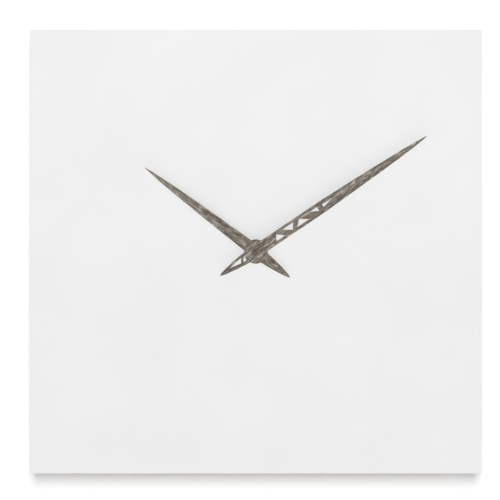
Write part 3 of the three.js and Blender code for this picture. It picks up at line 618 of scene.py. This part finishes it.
# each hand's angle at rest, from +X towards +Z
handAngles = {"minute": math.radians(34), "hour": math.radians(142.9)}
cellLow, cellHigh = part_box("battery_cell")
finishes = {
    "lacquer": satinLacquer(),
    "minuteOak": greyOak("minuteOak", handAngles["minute"]),
    "hourOak": greyOak("hourOak", handAngles["hour"]),
    "pineAcross": pine("pineAcross", (0, 0, 0), (0, 0.045, -0.02)),
    "pineUpright": pine("pineUpright", (0, math.radians(90), 0), (0, 0.052, 0.02)),
    "zinc": platedZinc(),
    "steel": turnedMetal("brightSteel", paint(208, 210, 212), paint(176, 178, 182), 0.24),
    "brass": turnedMetal("turnedBrass", paint(214, 178, 104), paint(178, 138, 70), 0.22),
    "copper": enamelledCopper(),
    "ferrite": sinteredFerrite(),
    "rubber": mattRubber(),
    "blackPlastic": moulded(
        "blackMoulding", paint(40, 41, 43), paint(31, 32, 34), gloss=0.48, grain=0.03, spark=0.1
    ),
    "whitePlastic": moulded(
        "whiteMoulding", paint(233, 230, 221), paint(222, 218, 206), gloss=0.42, grain=0.012
    ),
    "amberPlastic": moulded(
        "amberMoulding", paint(205, 142, 62), paint(178, 116, 44), gloss=0.38, grain=0.012
    ),
    "board": phenolicBoard(),
    "sleeve": cellSleeve(cellLow.x, cellHigh.x),
}
finishOfSlot = {
    "white_lacquer": "lacquer",
    "timber": "pineAcross",
    "grey_oak_veneer": "minuteOak",
    "zinc": "zinc",
    "steel": "steel",
    "brass": "brass",
    "copper": "copper",
    "ferrite": "ferrite",
    "rubber": "rubber",
    "black_plastic": "blackPlastic",
    "white_plastic": "whitePlastic",
    "amber_plastic": "amberPlastic",
    "board": "board",
    "cell_sleeve": "sleeve",
}
for node, piece in frame["nodes"].items():
    piece.material_slots[0].material = finishes[finishOfSlot[slotOf[node]]]
print("finishes:", len(finishes))


# Panel and hands

eased("dial_panel", "dialPanel", finishes["lacquer"], edgeWidth["panel"], segments=4)
hands = [
    eased("minute_hand", "minuteHand", finishes["minuteOak"], edgeWidth["hand"]),
    eased("hour_hand", "hourHand", finishes["hourOak"], edgeWidth["hand"]),
]
for hand in hands:
    hand.visible_shadow = False  # the panel stays evenly lit in the windows and beside the blades
print("panel and hands")


# Back frame

for node in ("top_rail_left", "top_rail_middle", "top_rail_right", "bottom_rail"):
    eased(node, node.title().replace("_", ""), finishes["pineAcross"], edgeWidth["rail"])
for node in ("left_rail", "right_rail"):
    eased(node, node.title().replace("_", ""), finishes["pineUpright"], edgeWidth["rail"])
for side in ("left", "right"):
    eased(side + "_hanger_plate", side + "HangerPlate", finishes["zinc"], edgeWidth["plate"])


def countersunkScrews(name, nodes):
    # one screw at each CAD screw, its cross recess towards the wall
    boxes = [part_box(node) for node in nodes]
    headRadius = (boxes[0][1].x - boxes[0][0].x) / 2
    screw = {
        "Head radius": headRadius,
        "Head height": 1.5 * mm,
        "Shank radius": 1.45 * mm,
        "Shank start": 0.3 * mm,
        "Length": boxes[0][1].y - boxes[0][0].y,
        "Point length": 2.7 * mm,
        "Tip radius": 0.2 * mm,
        "Recess width": 0.75 * mm,
        "Recess length": 3.6 * mm,
        "Recess depth": 1.1 * mm,
        "Middle radius": 1.3 * mm,
        "Middle floor": 0.5 * mm,
        "Middle depth": 1.55 * mm,
        "Overcut": 0.05 * mm,
    }
    g = Growth(name, screw)
    size = {label: g.given[label] for label in screw}
    head = g.moved(
        g.cone(size["Head radius"], size["Shank radius"], size["Head height"], 48),
        shift=g.vector(z=0 - size["Head height"]),
    )
    shankDepth = size["Length"] - size["Point length"] - size["Shank start"]
    shank = g.moved(
        g.drum(size["Shank radius"], shankDepth),
        shift=g.vector(z=shankDepth * -0.5 - size["Shank start"]),
    )
    point = g.moved(
        g.cone(size["Shank radius"], size["Tip radius"], size["Point length"]),
        shift=g.vector(z=0 - size["Length"]),
    )
    body = g.solid(head, shank, point, operation="UNION")
    barLong = g.brick(size["Recess length"], size["Recess width"], size["Recess depth"] * 2)
    barShort = g.brick(size["Recess width"], size["Recess length"], size["Recess depth"] * 2)
    middleDepth = size["Middle depth"] + size["Overcut"]
    middle = g.cone(size["Middle radius"], size["Middle floor"], middleDepth, 16)
    hollow = g.moved(middle, shift=g.vector(z=0 - size["Middle depth"]))
    body = g.solid(body, barLong, barShort, hollow)
    upright = g.moved(body, turn=(math.radians(-90), 0, 0))
    screws = g.grow(
        g.copies(g.given["Places"], upright),
        finishes["zinc"],
        [(low.x + headRadius, high.y, (low.z + high.z) / 2) for low, high in boxes],
    )
    softened(screws, 0)
    return placed(screws, finishes["zinc"], "case", "zinc", *nodes)


for side in ("left", "right"):
    countersunkScrews(side + "HangerScrews", [f"{side}_hanger_screw_{number}" for number in (1, 2)])
print("back frame and hangers")


# Stem, nut and washers

depth = {name: (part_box(name)[0].y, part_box(name)[1].y) for name in frame["nodes"]}


def reach(node):
    low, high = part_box(node)
    return (high.x - low.x) / 2


def addRing(node, name, inner, material):
    front, back = depth[node]
    ring = lathe(name, ringProfile(inner, reach(node), front, back), (shaft.x, 0, shaft.z))
    softened(ring, edgeWidth[name])
    return placed(ring, material, bodyOf[node], slotOf[node], node)


stem = {
    "radius": 3.85 * mm,
    "bore": 2.8 * mm,
    "flange": 5 * mm,
    "pitch": 0.75 * mm,
    "threadDepth": 0.32 * mm,
    "threadMargin": 0.25 * mm,
}
washerGap = {"flat": 0.1 * mm, "rubber": 0.15 * mm}
addRing("flat_washer", "flatWasher", stem["radius"] + washerGap["flat"], finishes["steel"])
addRing("rubber_washer", "rubberWasher", stem["flange"] + washerGap["rubber"], finishes["rubber"])


def carved(piece, tool, operation):
    modifier = piece.modifiers.new("carve", "BOOLEAN")
    modifier.operation = operation
    modifier.solver = "EXACT"
    modifier.object = tool
    shape = piece.evaluated_get(bpy.context.evaluated_depsgraph_get())
    mesh = bpy.data.meshes.new_from_object(shape)
    piece.modifiers.remove(modifier)
    piece.data = mesh
    bpy.data.objects.remove(tool)
    return piece


def addNut():
    # the hexagon, cut round at both faces
    nut = {"faceRadius": 5.45 * mm, "chamfer": 0.5 * mm, "spread": 1.25}
    front, back = depth["stem_nut"]
    widest = nut["faceRadius"] * nut["spread"]
    outside = [
        (0, front),
        (nut["faceRadius"], front),
        (widest, front + nut["chamfer"]),
        (widest, back - nut["chamfer"]),
        (nut["faceRadius"], back),
        (0, back),
    ]
    tool = lathe("nutOutside", outside, (shaft.x, 0, shaft.z))
    hexagon = carved(copyOfNode("stem_nut", "stemNut"), tool, "INTERSECT")
    softened(hexagon, edgeWidth["nut"], segments=2)
    return placed(hexagon, finishes["brass"], bodyOf["stem_nut"], slotOf["stem_nut"], "stem_nut")


def addStem():
    front, back = depth["threaded_stem"]
    panelBack, caseFront = depth["rubber_washer"]
    crest = stem["radius"]
    root = crest - stem["threadDepth"]
    profile = [
        (stem["bore"], front),
        (root, front),
        (root, panelBack),
        (stem["flange"], panelBack),
        (stem["flange"], caseFront),
        (crest, caseFront),
        (crest, back),
        (stem["bore"], back),
        (stem["bore"], front),
    ]
    core = lathe("stemCore", profile, (shaft.x, 0, shaft.z))
    softened(core, edgeWidth["stem"], segments=2)
    placed(core, finishes["brass"], "case", "brass", "threaded_stem")
    thread = {
        "Root": root,
        "Length": panelBack - front - 2 * stem["threadMargin"],
        "Pitch": stem["pitch"],
        "Wire": stem["threadDepth"],
    }
    g = Growth("stemThread", thread)
    turns = g.given["Length"] / g.given["Pitch"]
    helix = g.node("GeometryNodeCurveSpiral", {}, {
        "Resolution": 40,
        "Rotations": turns,
        "Start Radius": g.given["Root"],
        "End Radius": g.given["Root"],
        "Height": g.given["Length"],
    })["Curve"]
    turned = g.moved(
        g.swept(helix, g.given["Wire"], 4),
        shift=(shaft.x, front + stem["threadMargin"], shaft.z),
        turn=(math.radians(-90), 0, 0),
    )
    placed(softened(g.grow(turned, finishes["brass"]), 0), finishes["brass"], "case", "brass")


def addBush(node, name, hand, bore, barrel):
    front, back = depth[node]
    handBack = depth[hand][1]
    flange = reach(node)
    profile = [
        (bore, back),
        (flange, back),
        (flange, handBack),
        (barrel, handBack),
        (barrel, front),
        (bore, front),
        (bore, back),
    ]
    bush = lathe(name, profile, (shaft.x, 0, shaft.z))
    softened(bush, edgeWidth["bush"], segments=2)
    return placed(bush, finishes["brass"], bodyOf[node], slotOf[node], node)


addStem()
addNut()
bushes = {
    "hour": {"bore": 2.6 * mm, "barrel": 3.65 * mm},
    "minute": {"bore": 1.75 * mm, "barrel": 3.2 * mm},
}
for hand, size in bushes.items():
    addBush(hand + "_hand_bush", hand + "HandBush", hand + "_hand", size["bore"], size["barrel"])
print("stem, nut and washers")


# Movement case

coverMarks = {
    "proud": 0.25 * mm,
    "inset": 2.2 * mm,
    "line": 0.9 * mm,
    "corner": 2 * mm,
    "ribCount": 11,
    "ribGap": 1.5 * mm,
    "ribLength": 15 * mm,
    "ribRadius": 0.4 * mm,
    "ribRise": 0.15 * mm,
    "ribsX": -12 * mm,
    "ribsDown": 12.5 * mm,
    "arrowRadius": 7.6 * mm,
    "arrowLine": 0.8 * mm,
    "arrowStart": -34,
    "arrowEnd": 22,
    "arrowStep": 4,
    "arrowTip": 0.24,
    "signSize": 3.2 * mm,
    "signUp": 6.2 * mm,
    "plusX": 7.5 * mm,
    "minusX": -20.8 * mm,
}
caseLow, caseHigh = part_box("movement_back_cover")
knobLow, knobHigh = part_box("setting_knob")
knobCentre = (knobLow + knobHigh) / 2


def roundedLoop(left, right, low, high, radius):
    steps = 6
    corners = [(right, high, 0), (left, high, 90), (left, low, 180), (right, low, 270)]
    loop = []
    for x, z, start in corners:
        inX = x - math.copysign(radius, x - (left + right) / 2)
        inZ = z - math.copysign(radius, z - (low + high) / 2)
        for step in range(steps + 1):
            angle = math.radians(start + 90 * step / steps)
            loop.append((inX + radius * math.cos(angle), inZ + radius * math.sin(angle)))
    return loop


def aroundKnob(*places):
    return [(knobCentre.x + r * math.cos(a), knobCentre.z + r * math.sin(a)) for r, a in places]


def addBorder(face, top):
    marks = coverMarks
    outer, inner = [
        roundedLoop(
            caseLow.x + edge,
            caseHigh.x - edge,
            caseLow.z + edge,
            caseHigh.z - edge,
            radius,
        )
        for edge, radius in (
            (marks["inset"], marks["corner"]),
            (marks["inset"] + marks["line"], marks["corner"] - marks["line"]),
        )
    ]
    count = len(outer)
    outlines = [
        [outer[i], outer[(i + 1) % count], inner[(i + 1) % count], inner[i]]
        for i in range(count)
    ]
    border = plateOf("coverBorder", outlines, face, top)
    placed(softened(border, 0), finishes["blackPlastic"], "case", "black_plastic")


def addSigns(face, top):
    # two curved arrows round the knob, and plus and minus at the cell's ends
    marks = coverMarks
    shapes = []
    radius = marks["arrowRadius"]
    half = marks["arrowLine"] / 2
    low, high = radius - half, radius + half
    steps = range(marks["arrowStart"], marks["arrowEnd"] + 1, marks["arrowStep"])
    for middle in (90, 270):
        angles = [math.radians(middle + step) for step in steps]
        for first, second in zip(angles, angles[1:]):
            shapes.append(aroundKnob((low, first), (high, first), (high, second), (low, second)))
        end = angles[-1]
        shapes.append(aroundKnob(
            (radius - 3 * half, end),
            (radius + 3 * half, end),
            (radius, end + marks["arrowTip"]),
        ))
    arm = marks["signSize"] / 2
    signZ = caseLow.z + marks["signUp"]
    level = (-arm, arm, -half, half)
    lower = (-half, half, -arm, -half)
    upper = (-half, half, half, arm)
    for x, bars in ((marks["plusX"], (level, lower, upper)), (marks["minusX"], (level,))):
        for left, right, foot, head in bars:
            shapes.append([
                (x + left, signZ + foot),
                (x + right, signZ + foot),
                (x + right, signZ + head),
                (x + left, signZ + head),
            ])
    signs = plateOf("coverSigns", shapes, face, top)
    placed(softened(signs, 0), finishes["blackPlastic"], "case", "black_plastic")


def addRibs(face, top):
    marks = coverMarks
    ribs = {
        "Count": marks["ribCount"],
        "Gap": marks["ribGap"],
        "Length": marks["ribLength"],
        "Radius": marks["ribRadius"],
        "Rise": marks["ribRise"],
    }
    g = Growth("coverRibs", ribs)
    line = g.node("GeometryNodeMeshLine", {}, {
        "Count": g.given["Count"],
        "Start Location": (marks["ribsX"], top - marks["ribRise"], caseHigh.z - marks["ribsDown"]),
        "Offset": g.vector(x=g.given["Gap"]),
    })["Mesh"]
    bar = g.drum(g.given["Radius"], g.given["Length"], 16)
    squash = g.vector(1, g.given["Rise"] / g.given["Radius"], 1)
    flat = g.node("GeometryNodeTransform", {}, {"Geometry": bar, "Scale": squash})["Geometry"]
    ribbed = g.grow(g.copies(line, flat), finishes["blackPlastic"])
    placed(softened(ribbed, 0, smooth=50), finishes["blackPlastic"], "case", "black_plastic")


def addCoverMarks():
    face = caseHigh.y
    top = face + coverMarks["proud"]
    addBorder(face, top)
    addSigns(face, top)
    addRibs(face, top)


def addKnob():
    # ribbed rim, a dished back, a grip bar across it and a socket for the setting arbor
    radius = (knobHigh.x - knobLow.x) / 2
    knob = {
        "Radius": radius,
        "Thickness": knobHigh.y - knobLow.y,
        "Rib radius": 0.42 * mm,
        "Ribs": 28,
        "Dish radius": radius - 1.5 * mm,
        "Dish depth": 0.5 * mm,
        "Dish overcut": 0.02 * mm,
        "Bar width": 1.3 * mm,
        "Bar reach": 2.1,
        "Bar below rim": 0.11 * mm,
        "Bar overlap": 0.01 * mm,
        "Socket radius": 1.05 * mm,
        "Socket floor": 0.9 * mm,
        "Socket overcut": 0.7 * mm,
    }
    gripTurn = math.radians(25)
    g = Growth("settingKnob", knob)
    size = {label: g.given[label] for label in knob}
    half = size["Thickness"] / 2
    rimRadius = size["Radius"] - size["Rib radius"]
    disc = g.drum(rimRadius, size["Thickness"], 84)
    ringSockets = {"Vertices": size["Ribs"], "Radius": rimRadius}
    circle = g.node("GeometryNodeMeshCircle", {}, ringSockets)["Mesh"]
    ribs = g.copies(circle, g.drum(size["Rib radius"], size["Thickness"], 12))
    plainRibs = g.node("GeometryNodeRealizeInstances", {}, {"Geometry": ribs})["Geometry"]
    body = g.solid(disc, plainRibs, operation="UNION")
    dish = g.moved(
        g.drum(size["Dish radius"], size["Dish depth"] + size["Dish overcut"], 64),
        shift=g.vector(z=half - size["Dish depth"] / 2 + size["Dish overcut"] / 2),
    )
    barHeight = size["Dish depth"] - size["Bar below rim"] + size["Bar overlap"]
    bar = g.moved(
        g.brick(size["Dish radius"] * size["Bar reach"], size["Bar width"], barHeight),
        shift=g.vector(z=half - size["Bar below rim"] - barHeight / 2),
    )
    body = g.solid(g.solid(body, dish), bar, operation="UNION")
    socketDepth = size["Thickness"] - size["Socket floor"] + size["Socket overcut"]
    socket = g.moved(
        g.drum(size["Socket radius"], socketDepth),
        shift=g.vector(z=(size["Socket floor"] + size["Socket overcut"]) * -0.5),
    )
    upright = g.moved(
        g.solid(body, socket),
        shift=tuple(knobCentre),
        turn=(math.radians(-90), gripTurn, 0),
    )
    made = softened(g.grow(upright, finishes["blackPlastic"]), edgeWidth["knob"], segments=2)
    placed(made, finishes["blackPlastic"], bodyOf["setting_knob"], "black_plastic", "setting_knob")


cell = {
    "edge": 0.5 * mm,
    "dimpleRadius": 3.4 * mm,
    "dimpleDepth": 0.12 * mm,
    "baseInner": 3.9 * mm,
    "baseOuter": 5.6 * mm,
    "crimpRadius": 6.1 * mm,
    "crimpDepth": 0.45 * mm,
    "filmStart": 0.4 * mm,
    "grooveStart": 2.1 * mm,
    "grooveDepth": 0.12 * mm,
    "grooveStep": 0.2 * mm,
    "sealOuter": 4.6 * mm,
    "sealSlope": 0.3 * mm,
    "sealDepth": 0.25 * mm,
    "nubRadius": 2.75 * mm,
    "nubLength": 1.4 * mm,
    "nubEdge": 0.3 * mm,
    "springOuter": 4.2 * mm,
    "springInner": 2.2 * mm,
    "springTurns": 3,
    "springWireShare": 0.34,
    "springLengthShare": 0.3,
    "springStartShare": 0.35,
    "stripThickness": 0.4 * mm,
}
cellMiddle = (cellLow + cellHigh) / 2


def addCell():
    # from the base, with its dimple and crimp, to the nub
    radius = (cellHigh.z - cellLow.z) / 2
    start, end = cellLow.x, cellHigh.x
    shoulder = end - cell["nubLength"]
    film = start + cell["filmStart"]
    groove = start + cell["grooveStart"]
    seal = shoulder - cell["sealDepth"]
    nub = cell["nubRadius"]
    profile = [
        (0, start + cell["dimpleDepth"]),
        (cell["dimpleRadius"], start + cell["dimpleDepth"]),
        (cell["baseInner"], start),
        (cell["baseOuter"], start),
        (cell["crimpRadius"], start + cell["crimpDepth"]),
        (radius - cell["edge"], film),
        (radius, film + cell["edge"]),
        (radius, groove),
        (radius - cell["grooveDepth"], groove + cell["grooveStep"]),
        (radius - cell["grooveDepth"], groove + 2 * cell["grooveStep"]),
        (radius, groove + 3 * cell["grooveStep"]),
        (radius, shoulder - cell["edge"]),
        (radius - cell["edge"], shoulder),
        (cell["sealOuter"], shoulder),
        (cell["sealOuter"] - cell["sealSlope"], seal),
        (nub + cell["sealSlope"], seal),
        (nub, shoulder),
        (nub, end - cell["nubEdge"]),
        (nub - cell["nubEdge"], end),
        (0, end),
    ]
    made = lathe("batteryCell", profile, (0, cellMiddle.y, cellMiddle.z), axis="X")
    softened(made, edgeWidth["cell"], segments=2, smooth=40)
    placed(made, finishes["sleeve"], bodyOf["battery_cell"], "cell_sleeve", "battery_cell")


def addCellSpring():
    # a cone of wire between the negative contact's strip and the cell
    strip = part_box("negative_contact")[0].x + cell["stripThickness"]
    room = cellLow.x - strip
    spring = {
        "Wire": room * cell["springWireShare"],
        "Outer": cell["springOuter"],
        "Inner": cell["springInner"],
        "Turns": cell["springTurns"],
        "Depth": room * cell["springLengthShare"],
    }
    g = Growth("cellSpring", spring)
    coil = g.node("GeometryNodeCurveSpiral", {}, {
        "Resolution": 40,
        "Rotations": g.given["Turns"],
        "Start Radius": g.given["Outer"],
        "End Radius": g.given["Inner"],
        "Height": g.given["Depth"],
    })["Curve"]
    laid = g.moved(
        g.swept(coil, g.given["Wire"], 10),
        shift=(strip + room * cell["springStartShare"], cellMiddle.y, cellMiddle.z),
        turn=(0, math.radians(90), 0),
    )
    made = softened(g.grow(laid, finishes["zinc"]), 0, smooth=60)
    placed(made, finishes["zinc"], "case", "zinc")


for node, name in (
    ("movement_front_shell", "movementFrontShell"),
    ("movement_back_cover", "movementBackCover"),
):
    eased(node, name, finishes["blackPlastic"], edgeWidth["case"], segments=2)
for node, name in (
    ("positive_contact", "positiveContact"),
    ("negative_contact", "negativeContact"),
):
    eased(node, name, finishes["zinc"], edgeWidth["contact"], segments=2)
addCoverMarks()
addKnob()
addCell()
addCellSpring()
print("movement case")


# Wall, floor, lights and camera

studio = {
    "wallBehind": 0.6 * mm,
    "wallTone": paint(252, 252, 252),
    "wallSize": 9,
    "floorSize": 60,
    "floorDrop": 1.6,
    "floorSeen": 0.5,
    "skyStrength": 0.14,
    "skySeen": 0.86,
    "keyPlace": (0.08, -4.6, 1.7),
    "keySize": (2.2, 3.3),
    "keyPower": 221,
    "backPlace": (-0.9, 1.9, 0.7),
    "backSize": (1.4, 1.4),
    "backPower": 34,
    "rimPlace": (1.9, 0.9, 0.3),
    "rimSize": (1.0, 1.0),
    "rimPower": 18,
}


def stagePlane(name, centre, size, turn, material):
    work = bmesh.new()
    bmesh.ops.create_grid(work, x_segments=1, y_segments=1, size=size / 2)
    work.transform(Matrix.Translation(centre) @ Matrix.Rotation(turn, 4, "X"))
    mesh = bpy.data.meshes.new(name)
    work.to_mesh(mesh)
    work.free()
    plane = newPiece(name, mesh)
    mesh.materials.append(material)


def wallPaint():
    # seen from the front only, so that the clock's back can be looked at too
    s = Surface("wallPaint")
    grain = s.noise(scale=240, detail=2)
    matt = s.node("ShaderNodeBsdfDiffuse", {}, {
        "Color": studio["wallTone"],
        "Normal": s.bump(grain, depth=0.01 * mm),
    })["BSDF"]
    clear = s.node("ShaderNodeBsdfTransparent")["BSDF"]
    behind = s.node("ShaderNodeNewGeometry")["Backfacing"]
    seen = s.node("ShaderNodeLightPath")["Is Camera Ray"]
    unseen = behind.larger(1 - seen)
    both = s.node("ShaderNodeMixShader", {}, {0: unseen, 1: matt, 2: clear})["Shader"]
    s.node("ShaderNodeOutputMaterial", {}, {"Surface": both})
    return s.material


def floorPaint():
    # like the sky, it looks lighter to the camera than the light it gives
    s = Surface("floorPaint")
    grain = s.noise(scale=60, detail=3)
    tone = s.mix(grain, paint(240, 240, 240), paint(234, 234, 235))
    glow = s.node("ShaderNodeEmission", {}, {
        "Color": tone,
        "Strength": s.node("ShaderNodeLightPath")["Is Camera Ray"] * studio["floorSeen"],
    })["Emission"]
    matt = s.node("ShaderNodeBsdfDiffuse", {}, {"Color": tone})["BSDF"]
    both = s.node("ShaderNodeAddShader", {}, {0: matt, 1: glow})["Shader"]
    s.node("ShaderNodeOutputMaterial", {}, {"Surface": both})
    return s.material


def addLight(name, place, size, power, target):
    light = bpy.data.lights.new(name, "AREA")
    light.shape = "RECTANGLE"
    light.size, light.size_y = size
    light.energy = power
    lamp = bpy.data.objects.new(name, light)
    bpy.context.scene.collection.objects.link(lamp)
    lamp.location = place
    lamp.rotation_euler = (Vector(target) - Vector(place)).to_track_quat("-Z", "Y").to_euler()


def addCamera():
    # square on to the panel, a little left of its middle and a little above the shaft
    view = {
        "lens": 100,
        "sensor": 36,
        "width": 0.49725,
        "x": -0.00572,
        "z": -0.18526,
        "far": 60,
    }
    camera = bpy.data.cameras.new("camera")
    camera.lens = view["lens"]
    camera.sensor_width = view["sensor"]
    camera.clip_end = view["far"]
    eye = bpy.data.objects.new("camera", camera)
    bpy.context.scene.collection.objects.link(eye)
    away = view["width"] * view["lens"] / view["sensor"]
    eye.location = (view["x"], depth["dial_panel"][0] - away, view["z"])
    eye.rotation_euler = (math.radians(90), 0, 0)
    bpy.context.scene.camera = eye


def addSky():
    # an even, pale surround that looks lighter to the camera than the light it gives
    world = bpy.data.worlds.new("sky")
    world.use_nodes = True
    world.node_tree.nodes.clear()
    g = Graph(world.node_tree)
    seen = g.node("ShaderNodeLightPath")["Is Camera Ray"]
    strength = seen * (studio["skySeen"] - studio["skyStrength"]) + studio["skyStrength"]
    sockets = {"Color": (1, 1, 1, 1), "Strength": strength}
    light = g.node("ShaderNodeBackground", {}, sockets)["Background"]
    g.node("ShaderNodeOutputWorld", {}, {"Surface": light})
    bpy.context.scene.world = world


wallPlace = (0, studio["wallBehind"], 0)
floorPlace = (0, 0, -studio["floorDrop"])
stagePlane("wall", wallPlace, studio["wallSize"], math.radians(90), wallPaint())
stagePlane("floor", floorPlace, studio["floorSize"], 0, floorPaint())
for name in ("key", "back", "rim"):
    addLight(name, studio[name + "Place"], studio[name + "Size"], studio[name + "Power"], shaft)
addSky()
addCamera()
bpy.context.scene.view_settings.view_transform = "Standard"
print("studio")
